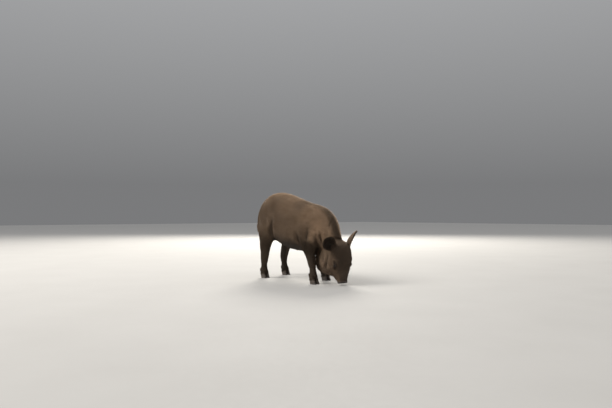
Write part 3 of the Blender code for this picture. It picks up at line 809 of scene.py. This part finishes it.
skinPoints, skinNormals, skinEdges = pointsOf(skin.data), normalsOf(skin.data), edgesOf(skin.data)
skinShares = regionShares(skinPoints, skinEdges)
skinPlaces = placeShares(skinPoints, skinNormals, skinShares)
skinLie = lieOf(skinPoints, skinNormals, skinShares, skinPlaces)
skinTone = toneOf(skinPoints, skinNormals, skinShares, skinPlaces)
bareNose = ramp(headLook["noseNeck"] + 0.001, headLook["noseRim"] - 0.003, skinPlaces["down"])
bareNose *= skinPlaces["head"]
bareNose *= ramp(0.07, 0.06, skinPoints[:, 2])
bareEyes, lidRims = np.zeros(len(skinPoints)), np.zeros(len(skinPoints))
for eye in eyeFrames.values():
    ring = lidRing(skinPoints, eye)
    bareEyes += ramp(1.30, 1.05, ring)
    lidRims += ramp(1.0, 1.2, ring) * ramp(1.6, 1.3, ring)
addNumbers(skin.data, "tone", skinTone)
addNumbers(skin.data, "upright", np.clip(skinPlaces["legs"] + skinPlaces["head"] + skinPlaces["tail"], 0, 1))
addNumbers(skin.data, "nose", bareNose)
addNumbers(skin.data, "lid", np.clip(bareEyes, 0, 1))

# the coat: thin solid tufts of bristles that overlap like the real coat, one piece for each part of the body
# tufts is how many, length and width are in metres, lift is how far they stand up in degrees,
# and bent ones curve down to the skin
coatLook = {
    "back": {"tufts": 34000, "length": 0.0125, "width": 0.00085, "lift": 24, "bent": False},
    "rump": {"tufts": 22000, "length": 0.0110, "width": 0.00085, "lift": 18, "bent": False},
    "flankLeft": {"tufts": 26000, "length": 0.0100, "width": 0.00085, "lift": 14, "bent": False},
    "flankRight": {"tufts": 26000, "length": 0.0100, "width": 0.00085, "lift": 14, "bent": False},
    "shoulderLeft": {"tufts": 20000, "length": 0.0095, "width": 0.00080, "lift": 14, "bent": False},
    "shoulderRight": {"tufts": 20000, "length": 0.0095, "width": 0.00080, "lift": 14, "bent": False},
    "belly": {"tufts": 21000, "length": 0.0085, "width": 0.00080, "lift": 14, "bent": False},
    "neck": {"tufts": 26000, "length": 0.0100, "width": 0.00080, "lift": 17, "bent": False},
    "face": {"tufts": 30000, "length": 0.0052, "width": 0.00055, "lift": 15, "bent": False},
    "cheeks": {"tufts": 20000, "length": 0.0078, "width": 0.00065, "lift": 18, "bent": False},
    "ears": {"tufts": 14000, "length": 0.0050, "width": 0.00050, "lift": 16, "bent": False},
    "foreLegs": {"tufts": 26000, "length": 0.0065, "width": 0.00065, "lift": 13, "bent": False},
    "hindLegs": {"tufts": 30000, "length": 0.0070, "width": 0.00070, "lift": 13, "bent": False},
    "mane": {"tufts": 7000, "length": 0.0170, "width": 0.00095, "lift": 42, "bent": True},
    "guard": {"tufts": 9000, "length": 0.0155, "width": 0.00080, "lift": 26, "bent": True},
    "earFringe": {"tufts": 3400, "length": 0.0105, "width": 0.00055, "lift": 30, "bent": True},
    "tailCoat": {"tufts": 3000, "length": 0.0065, "width": 0.00060, "lift": 16, "bent": False},
    "tailSwitch": {"tufts": 900, "length": 0.0190, "width": 0.00075, "lift": 16, "bent": True},
    "whiskers": {"tufts": 420, "length": 0.0190, "width": 0.00045, "lift": 48, "bent": True},
    "lashes": {"tufts": 260, "length": 0.0070, "width": 0.00040, "lift": 46, "bent": True},
}


def coatMasks(points, normals, shares, places):
    body = np.clip(places["trunk"] + 0.6 * places["legs"] * ramp(-0.05, 0.10, places["up"]), 0, 1)
    sideOn = 1 - np.clip(places["top"] + places["belly"], 0, 1)
    behind, before = ramp(0.20, 0.12, places["along"]), ramp(0.66, 0.74, places["along"])
    ridge = np.abs(points[:, 1] - middleY)
    left, right = places["side"] > 0, places["side"] < 0
    facing = {name: normals @ np.array(hollow.normalized()) for name, hollow in earHollows.items()}
    rims = {name: ramp(0.55, 0.15, np.abs(turned)) for name, turned in facing.items()}
    hollows = {name: ramp(0.2, 0.7, turned) for name, turned in facing.items()}
    snout = places["head"] * ramp(0.150, 0.200, places["down"])
    legOnly = ramp(0.30, 0.10, places["up"])
    masks = {
        "back": places["trunk"] * ramp(0.30, 0.60, normals[:, 2]) * (1 - behind),
        "rump": body * behind * (1 - legOnly * places["hindLegs"]),
        "belly": places["belly"] * places["trunk"],
        "neck": places["neck"],
        "face": places["head"] * (1 - places["cheek"]) * (1 - places["underJaw"]) * (1 - 0.75 * snout),
        "cheeks": places["head"] * np.clip(places["cheek"] + places["underJaw"], 0, 1) * (1 - 0.7 * snout),
        "ears": sum(shares[name] * (1 - 0.60 * hollows[name]) for name in rims),
        "foreLegs": places["foreLegs"] * (0.35 + 0.65 * legOnly), "hindLegs": places["hindLegs"],
        "mane": np.clip(places["trunk"] * ramp(0.45, 0.85, places["along"]) + places["neck"], 0, 1)
        * ramp(0.034, 0.010, ridge) * ramp(0.3, 0.7, normals[:, 2] + 0.25 * normals[:, 0]),
        "guard": places["trunk"] * ramp(0.075, 0.03, ridge) * ramp(0.2, 0.7, normals[:, 2])
        + 0.35 * places["rear"] + 0.15 * places["neck"],
        "earFringe": sum(shares[name] * (rims[name] ** 3 + 0.15 * hollows[name]) for name in rims),
        "tailCoat": places["tail"] * ramp(0.29, 0.31, points[:, 2]),
        "tailSwitch": places["tail"] * ramp(0.325, 0.285, points[:, 2]),
        "lashes": lidRims * places["head"],
        "whiskers": places["head"] * (0.25 * snout + ramp(0.12, 0.17, places["down"]) * places["underJaw"]),
    }
    for side, mask in (("Left", left), ("Right", right)):
        trunkSide = body * sideOn * (1 - behind) * mask
        masks[f"flank{side}"] = trunkSide * (1 - before)
        masks[f"shoulder{side}"] = trunkSide * before
    bare = np.clip(bareNose + np.clip(bareEyes, 0, 1), 0, 1)
    return {name: np.clip(mask, 0, 1) * (1 - bare) for name, mask in masks.items()}


skin.data.calc_loop_triangles()
triangles = np.empty(len(skin.data.loop_triangles) * 3, dtype=np.int64)
skin.data.loop_triangles.foreach_get("vertices", triangles)
triangles = triangles.reshape(-1, 3)
triangleLoops = np.empty(len(triangles) * 3, dtype=np.int64)
skin.data.loop_triangles.foreach_get("loops", triangleLoops)
skinPlane = np.empty(len(skin.data.loops) * 2)
skin.data.uv_layers["OFBake"].data.foreach_get("uv", skinPlane)
trianglePlane = skinPlane.reshape(-1, 2)[triangleLoops.reshape(-1, 3)]
corner = skinPoints[triangles]
acrossTriangle = np.cross(corner[:, 1] - corner[:, 0], corner[:, 2] - corner[:, 0])
triangleArea = 0.5 * np.linalg.norm(acrossTriangle, axis=1)
patchReach = 0.0015


def scatter(mask, count, seed):
    # roots spread evenly by area, with the skin's own normal, lie, tone and place on its unwrap
    dice = np.random.default_rng(seed)
    weight = np.cumsum(triangleArea * mask[triangles].mean(1))
    # evenly spread picks along the summed area, so that no bald spots are left
    chosen = np.searchsorted(weight, (np.arange(count) + dice.uniform(0, 1, count)) * weight[-1] / count)
    chosen = np.minimum(chosen, len(triangles) - 1)
    a, b = dice.uniform(0, 1, (2, count))
    over = a + b > 1
    a[over], b[over] = 1 - a[over], 1 - b[over]
    share = np.stack([1 - a - b, a, b], axis=1)[:, :, None]

    def mixed(values):
        return (values[triangles[chosen]] * share).sum(1)

    return {
        "root": mixed(skinPoints), "normal": unit(mixed(skinNormals)), "lie": mixed(skinLie),
        "tone": mixed(skinTone[:, None])[:, 0], "plane": (trianglePlane[chosen] * share).sum(1),
    }, dice


def makeTufts(name, look, mask, seed):
    roots, dice = scatter(mask, look["tufts"], seed)
    count = look["tufts"]
    root, normal = roots["root"], roots["normal"]
    lie = roots["lie"] + 0.13 * dice.normal(0, 1, (count, 3))
    lie = unit(lie - normal * np.sum(lie * normal, axis=1)[:, None])
    side = np.cross(normal, lie)
    length = look["length"] * dice.uniform(0.62, 1.22, count)[:, None]
    width = look["width"] * dice.uniform(0.7, 1.25, count)[:, None]
    lift = np.radians(look["lift"]) * dice.uniform(0.45, 1.45, count)[:, None]
    way = lie * np.cos(lift) + normal * np.sin(lift)
    above = np.cross(way, side)
    above *= np.sign(np.sum(above * normal, axis=1))[:, None]
    base = root - normal * 0.0005

    def ring(centre, size):
        return [centre + side * size * 0.5, centre - side * size * 0.5, centre + above * size * 0.55]

    rows = ring(base, width)
    along = [0.0, 0.0, 0.0]
    if look["bent"]:
        middle = root + way * length * 0.48
        flat = lie * np.cos(lift * 0.35) + normal * np.sin(lift * 0.35)
        rows += ring(middle, width * 0.72) + [middle + flat * length * 0.52]
        along += [0.5, 0.5, 0.5, 1.0]
    else:
        rows += [root + way * length]
        along += [1.0]
    each = len(rows)
    points = np.stack(rows, axis=1).reshape(-1, 3)
    shape = [(0, 1, 2)]
    for level in range(each // 3 - 1):
        for k in range(3):
            low, high = 3 * level, 3 * level + 3
            n = (k + 1) % 3
            shape += [(low + k, high + k, high + n), (low + k, high + n, low + n)]
    top = each - 1
    shape += [(top - 3 + k, top, top - 3 + (k + 1) % 3) for k in range(3)]
    faces = (np.arange(count)[:, None, None] * each + np.array(shape)[None]).reshape(-1, 3)
    mesh = bpy.data.meshes.new(name)
    mesh.vertices.add(len(points))
    mesh.vertices.foreach_set("co", points.ravel())
    mesh.loops.add(faces.size)
    mesh.loops.foreach_set("vertex_index", faces.ravel())
    mesh.polygons.add(len(faces))
    mesh.polygons.foreach_set("loop_start", np.arange(len(faces)) * 3)
    # each tuft has a small patch of its own at its root's place on the skin's unwrap
    angle = np.arange(3) * 2 * math.pi / 3
    fan = np.stack([np.cos(angle), np.sin(angle)], axis=1) * patchReach
    patch = [fan, fan * 0.5, np.zeros((1, 2))] if look["bent"] else [fan, np.zeros((1, 2))]
    plane = (roots["plane"][:, None] + np.concatenate(patch)[None]).reshape(-1, 2)
    layer = mesh.uv_layers.new(name="OFBake")
    layer.data.foreach_set("uv", plane[faces.ravel()].ravel())
    mesh.update(calc_edges=True)
    mesh.validate()
    addNumbers(mesh, "along", np.tile(np.array(along), count))
    addNumbers(mesh, "tone", np.repeat(roots["tone"], each))
    addNumbers(mesh, "own", np.repeat(dice.uniform(0, 1, count), each))
    mesh.shade_smooth()
    return objectOf(name, mesh)


masks = coatMasks(skinPoints, skinNormals, skinShares, skinPlaces)
coat = {}
for number, (name, look) in enumerate(coatLook.items()):
    coat[name] = makeTufts(name, look, masks[name], 100 + number)
    area = (triangleArea * masks[name][triangles].mean(1)).sum() * 10000
    print("pig: coat", name, look["tufts"], "tufts on", round(area), "square cm")
coatTriangles = sum(len(piece.data.polygons) for piece in coat.values())
print("pig: coat made,", coatTriangles, "triangles")


# materials, all procedural

def newMaterial(name):
    made = bpy.data.materials.new(name)
    made.use_nodes = True
    tree = made.node_tree
    return made, tree, tree.nodes["Principled BSDF"]


def addNode(tree, kind, links=None, **settings):
    node = tree.nodes.new(kind)
    for name, value in settings.items():
        if name in node.inputs:
            node.inputs[name].default_value = value
        else:
            setattr(node, name, value)
    for name, source in (links or {}).items():
        tree.links.new(source, node.inputs[name])
    return node


def numberOf(tree, name):
    return addNode(tree, "ShaderNodeAttribute", attribute_name=name).outputs["Fac"]


def mathOf(tree, operation, first, second=None, third=None, clamp=False):
    node = tree.nodes.new("ShaderNodeMath")
    node.operation = operation
    node.use_clamp = clamp
    for slot, value in zip(node.inputs, (first, second, third)):
        if isinstance(value, (int, float)):
            slot.default_value = value
        elif value is not None:
            tree.links.new(value, slot)
    return node.outputs[0]


def mixOf(tree, share, first, second, blend="MIX"):
    node = tree.nodes.new("ShaderNodeMix")
    node.data_type = "RGBA"
    node.blend_type = blend
    for slot, value in ((node.inputs[0], share), (node.inputs[6], first), (node.inputs[7], second)):
        if isinstance(value, (int, float)):
            slot.default_value = value
        elif isinstance(value, tuple):
            slot.default_value = (*value, 1)
        else:
            tree.links.new(value, slot)
    return node.outputs[2]


def noiseOf(tree, scale, detail=3, roughness=0.5, stretch=(1, 1, 1), shift=0):
    place = addNode(tree, "ShaderNodeTexCoord").outputs["Object"]
    mapping = addNode(tree, "ShaderNodeMapping", {"Vector": place})
    mapping.inputs["Scale"].default_value = stretch
    mapping.inputs["Location"].default_value = (shift, shift, shift)
    links = {"Vector": mapping.outputs[0]}
    node = addNode(tree, "ShaderNodeTexNoise", links, Scale=scale, Detail=detail, Roughness=roughness)
    return node.outputs["Fac"]


def rangeOf(tree, value, low, high, to=(0, 1)):
    node = addNode(tree, "ShaderNodeMapRange", {"Value": value})
    node.inputs["From Min"].default_value, node.inputs["From Max"].default_value = low, high
    node.inputs["To Min"].default_value, node.inputs["To Max"].default_value = to
    return node.outputs[0]


def bumpOf(tree, height, distance, strength=1.0, normal=None):
    links = {"Height": height}
    if normal is not None:
        links["Normal"] = normal
    return addNode(tree, "ShaderNodeBump", links, Distance=distance, Strength=strength).outputs[0]


finishLook = {
    "skinDark": (0.058, 0.038, 0.025), "skinDusty": (0.120, 0.080, 0.051),
    "noseSkin": (0.060, 0.047, 0.041), "nosePink": (0.120, 0.078, 0.066), "lidSkin": (0.035, 0.025, 0.020),
    "hairRoot": (0.066, 0.042, 0.026), "hairTip": (0.225, 0.150, 0.094), "hairPale": (0.360, 0.260, 0.172),
    "paleShare": 0.14, "dust": 0.30,
    "hornDark": (0.040, 0.031, 0.026), "hornPale": (0.115, 0.090, 0.070),
    "iris": (0.050, 0.024, 0.011), "eyeDark": (0.004, 0.003, 0.003), "eyeWhite": (0.20, 0.15, 0.12),
}


def toned(tree, colour):
    # the tone carries painted shade and light as well as the coat's own darker and paler parts
    tone = numberOf(tree, "tone")
    grey = addNode(tree, "ShaderNodeCombineColor", {"Red": tone, "Green": tone, "Blue": tone}).outputs[0]
    return mixOf(tree, 1.0, colour, grey, "MULTIPLY")


def dusty(tree):
    # dry soil that has stayed in the coat, the same cloud for skin and hair
    return rangeOf(tree, noiseOf(tree, 9, 4, 0.6), 0.42, 0.72)


def makeSkinMaterial():
    look = finishLook
    made, tree, shader = newMaterial("bristledSkin")
    speckle = noiseOf(tree, 130, 3, 0.6)
    colour = mixOf(tree, rangeOf(tree, speckle, 0.35, 0.70), look["skinDark"], look["skinDusty"])
    colour = mixOf(tree, mathOf(tree, "MULTIPLY", dusty(tree), look["dust"]), colour, look["hairTip"])
    colour = toned(tree, colour)
    nose = numberOf(tree, "nose")
    mottle = rangeOf(tree, noiseOf(tree, 60, 3), 0.45, 0.72)
    noseColour = mixOf(tree, mottle, look["noseSkin"], look["nosePink"])
    colour = mixOf(tree, nose, colour, noseColour)
    colour = mixOf(tree, numberOf(tree, "lid"), colour, look["lidSkin"])
    tree.links.new(colour, shader.inputs["Base Color"])
    alongBody = noiseOf(tree, 260, 2, 0.5, (0.16, 1, 1))
    downLegs = noiseOf(tree, 260, 2, 0.5, (1, 1, 0.16))
    turned = mathOf(tree, "SUBTRACT", downLegs, alongBody)
    hair = mathOf(tree, "MULTIPLY_ADD", turned, numberOf(tree, "upright"), alongBody)
    hair = mathOf(tree, "MULTIPLY", hair, mathOf(tree, "SUBTRACT", 1.0, nose))
    place = addNode(tree, "ShaderNodeTexCoord").outputs["Object"]
    creased = addNode(tree, "ShaderNodeTexVoronoi", {"Vector": place}, Scale=420.0)
    bump = bumpOf(tree, creased.outputs["Distance"], 0.0005, 0.55)
    bump = bumpOf(tree, hair, 0.0016, 0.8, bump)
    tree.links.new(bump, shader.inputs["Normal"])
    rough = rangeOf(tree, mathOf(tree, "MULTIPLY", nose, noiseOf(tree, 90, 2)), 0.0, 0.6, (0.62, 0.30))
    tree.links.new(rough, shader.inputs["Roughness"])
    shader.inputs["Specular IOR Level"].default_value = 0.30
    return made


def makeHairMaterial():
    look = finishLook
    made, tree, shader = newMaterial("bristles")
    along, own = numberOf(tree, "along"), numberOf(tree, "own")
    pale = mathOf(tree, "GREATER_THAN", own, 1 - look["paleShare"])
    soiled = mathOf(tree, "MULTIPLY", dusty(tree), look["dust"])
    tip = mixOf(tree, mathOf(tree, "MAXIMUM", pale, soiled), look["hairTip"], look["hairPale"])
    colour = mixOf(tree, rangeOf(tree, along, 0.0, 1.0), look["hairRoot"], tip)
    vary = rangeOf(tree, mathOf(tree, "FRACT", mathOf(tree, "MULTIPLY", own, 37.0)), 0, 1, (0.72, 1.22))
    grey = addNode(tree, "ShaderNodeCombineColor", {"Red": vary, "Green": vary, "Blue": vary}).outputs[0]
    colour = toned(tree, mixOf(tree, 1.0, colour, grey, "MULTIPLY"))
    tree.links.new(colour, shader.inputs["Base Color"])
    shader.inputs["Roughness"].default_value = 0.55
    shader.inputs["Specular IOR Level"].default_value = 0.25
    return made


def makeHornMaterial():
    look = finishLook
    made, tree, shader = newMaterial("horn")
    rings = noiseOf(tree, 55, 3, 0.6, (0.35, 0.35, 6.0))
    fibre = noiseOf(tree, 420, 2, 0.5, (1, 1, 0.12))
    colour = mixOf(tree, rangeOf(tree, rings, 0.36, 0.70), look["hornDark"], look["hornPale"])
    soiled = rangeOf(tree, noiseOf(tree, 45, 3), 0.50, 0.75, (0, 0.55))
    colour = mixOf(tree, soiled, colour, look["hairTip"])
    tree.links.new(colour, shader.inputs["Base Color"])
    bump = bumpOf(tree, fibre, 0.0004, 0.6)
    tree.links.new(bumpOf(tree, rings, 0.0006, 0.6, bump), shader.inputs["Normal"])
    tree.links.new(rangeOf(tree, fibre, 0.3, 0.7, (0.42, 0.60)), shader.inputs["Roughness"])
    return made


def makeEyeMaterial():
    look = finishLook
    made, tree, shader = newMaterial("eyeball")
    out = numberOf(tree, "fromAxis")
    fibres = noiseOf(tree, 700, 2, 0.6)
    iris = mixOf(tree, fibres, look["eyeDark"], look["iris"])
    iris = mixOf(tree, rangeOf(tree, out, eyeLook["iris"] - 0.10, eyeLook["iris"]), iris, look["eyeDark"])
    rim, pupil = eyeLook["iris"], eyeLook["pupil"]
    colour = mixOf(tree, rangeOf(tree, out, rim + 0.02, rim + 0.12), iris, look["eyeWhite"])
    colour = mixOf(tree, rangeOf(tree, out, pupil + 0.03, pupil), colour, look["eyeDark"])
    tree.links.new(colour, shader.inputs["Base Color"])
    tree.links.new(rangeOf(tree, noiseOf(tree, 300, 2), 0.3, 0.7, (0.04, 0.08)), shader.inputs["Roughness"])
    return made


def makeFloorMaterial():
    made, tree, shader = newMaterial("paleFloor")
    colour = mixOf(tree, noiseOf(tree, 3, 4), (0.46, 0.452, 0.438), (0.51, 0.502, 0.488))
    tree.links.new(colour, shader.inputs["Base Color"])
    tree.links.new(rangeOf(tree, noiseOf(tree, 40, 3), 0.3, 0.7, (0.78, 0.90)), shader.inputs["Roughness"])
    shader.inputs["Specular IOR Level"].default_value = 0.12
    return made


skinMaterial, hairMaterial = makeSkinMaterial(), makeHairMaterial()
hornMaterial, eyeMaterial = makeHornMaterial(), makeEyeMaterial()
skin.data.materials.append(skinMaterial)
for piece in coat.values():
    piece.data.materials.append(hairMaterial)
for piece in eyeballs.values():
    piece.data.materials.append(eyeMaterial)
for piece in [*claws.values(), *dewclaws.values()]:
    piece.data.materials.append(hornMaterial)
print("pig: materials made")

# every piece rides on the one body and stands for its solids
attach(skin, "root")
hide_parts(*fleshNodes)
for piece in coat.values():
    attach(piece, "root")
for side, piece in eyeballs.items():
    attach(piece, "root")
    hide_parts(f"eye_{side}")
for node, piece in [*claws.items(), *dewclaws.items()]:
    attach(piece, "root")
    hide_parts(node)

# a plain pale floor and soft studio light: broad from the right flank, a rim from behind
studioLook = {
    "floorSize": 40.0,
    "key": {"way": (-0.55, -1.0, 1.15), "away": 7.0, "size": 4.6, "power": 430, "colour": (1.0, 0.96, 0.90)},
    "rim": {"way": (-1.0, 0.85, 0.75), "away": 7.0, "size": 2.6, "power": 450, "colour": (1.0, 0.955, 0.88)},
    "sky": (0.97, 0.98, 1.0), "skyLow": 0.20, "skyHigh": 0.62,
    "camera": (2.62115, -2.08288, 0.36), "cameraTurn": math.radians(51), "cameraRise": math.radians(1.05),
    "lens": 35.294,
}


def makeFloor():
    half = studioLook["floorSize"] / 2
    mesh = bpy.data.meshes.new("floor")
    corners = [(-half, -half, 0), (half, -half, 0), (half, half, 0), (-half, half, 0)]
    mesh.from_pydata(corners, [], [(0, 1, 2, 3)])
    mesh.materials.append(makeFloorMaterial())
    return objectOf("floor", mesh)


def makeLight(name, look):
    middle = (solidsBox[0] + solidsBox[1]) / 2
    light = bpy.data.lights.new(name, "AREA")
    light.shape = "DISK"
    light.size, light.energy, light.color = look["size"], look["power"], look["colour"]
    made = objectOf(name, light)
    way = Vector(look["way"]).normalized()
    made.location = middle + way * look["away"]
    made.rotation_euler = way.to_track_quat("Z", "Y").to_euler()
    return made


floor = makeFloor()
makeLight("key", studioLook["key"])
makeLight("rim", studioLook["rim"])
world = bpy.data.worlds.new("studio")
world.use_nodes = True
backdrop = world.node_tree.nodes["Background"]
backdrop.inputs["Color"].default_value = (*studioLook["sky"], 1)
height = addNode(world.node_tree, "ShaderNodeSeparateXYZ", {
    "Vector": addNode(world.node_tree, "ShaderNodeTexCoord").outputs["Generated"],
}).outputs["Z"]
glow = rangeOf(world.node_tree, height, 0.05, 0.75, (studioLook["skyLow"], studioLook["skyHigh"]))
world.node_tree.links.new(glow, backdrop.inputs["Strength"])
bpy.context.scene.world = world
bpy.context.scene.view_settings.view_transform = "Standard"

lensData = bpy.data.cameras.new("view")
lensData.lens, lensData.sensor_width = studioLook["lens"], 36.0
camera = objectOf("view", lensData)
turn, rise = studioLook["cameraTurn"], studioLook["cameraRise"]
forward = Vector((-math.sin(turn) * math.cos(rise), math.cos(turn) * math.cos(rise), math.sin(rise)))
camera.location = studioLook["camera"]
camera.rotation_euler = forward.to_track_quat("-Z", "Y").to_euler()
bpy.context.scene.camera = camera
print("pig: studio ready")
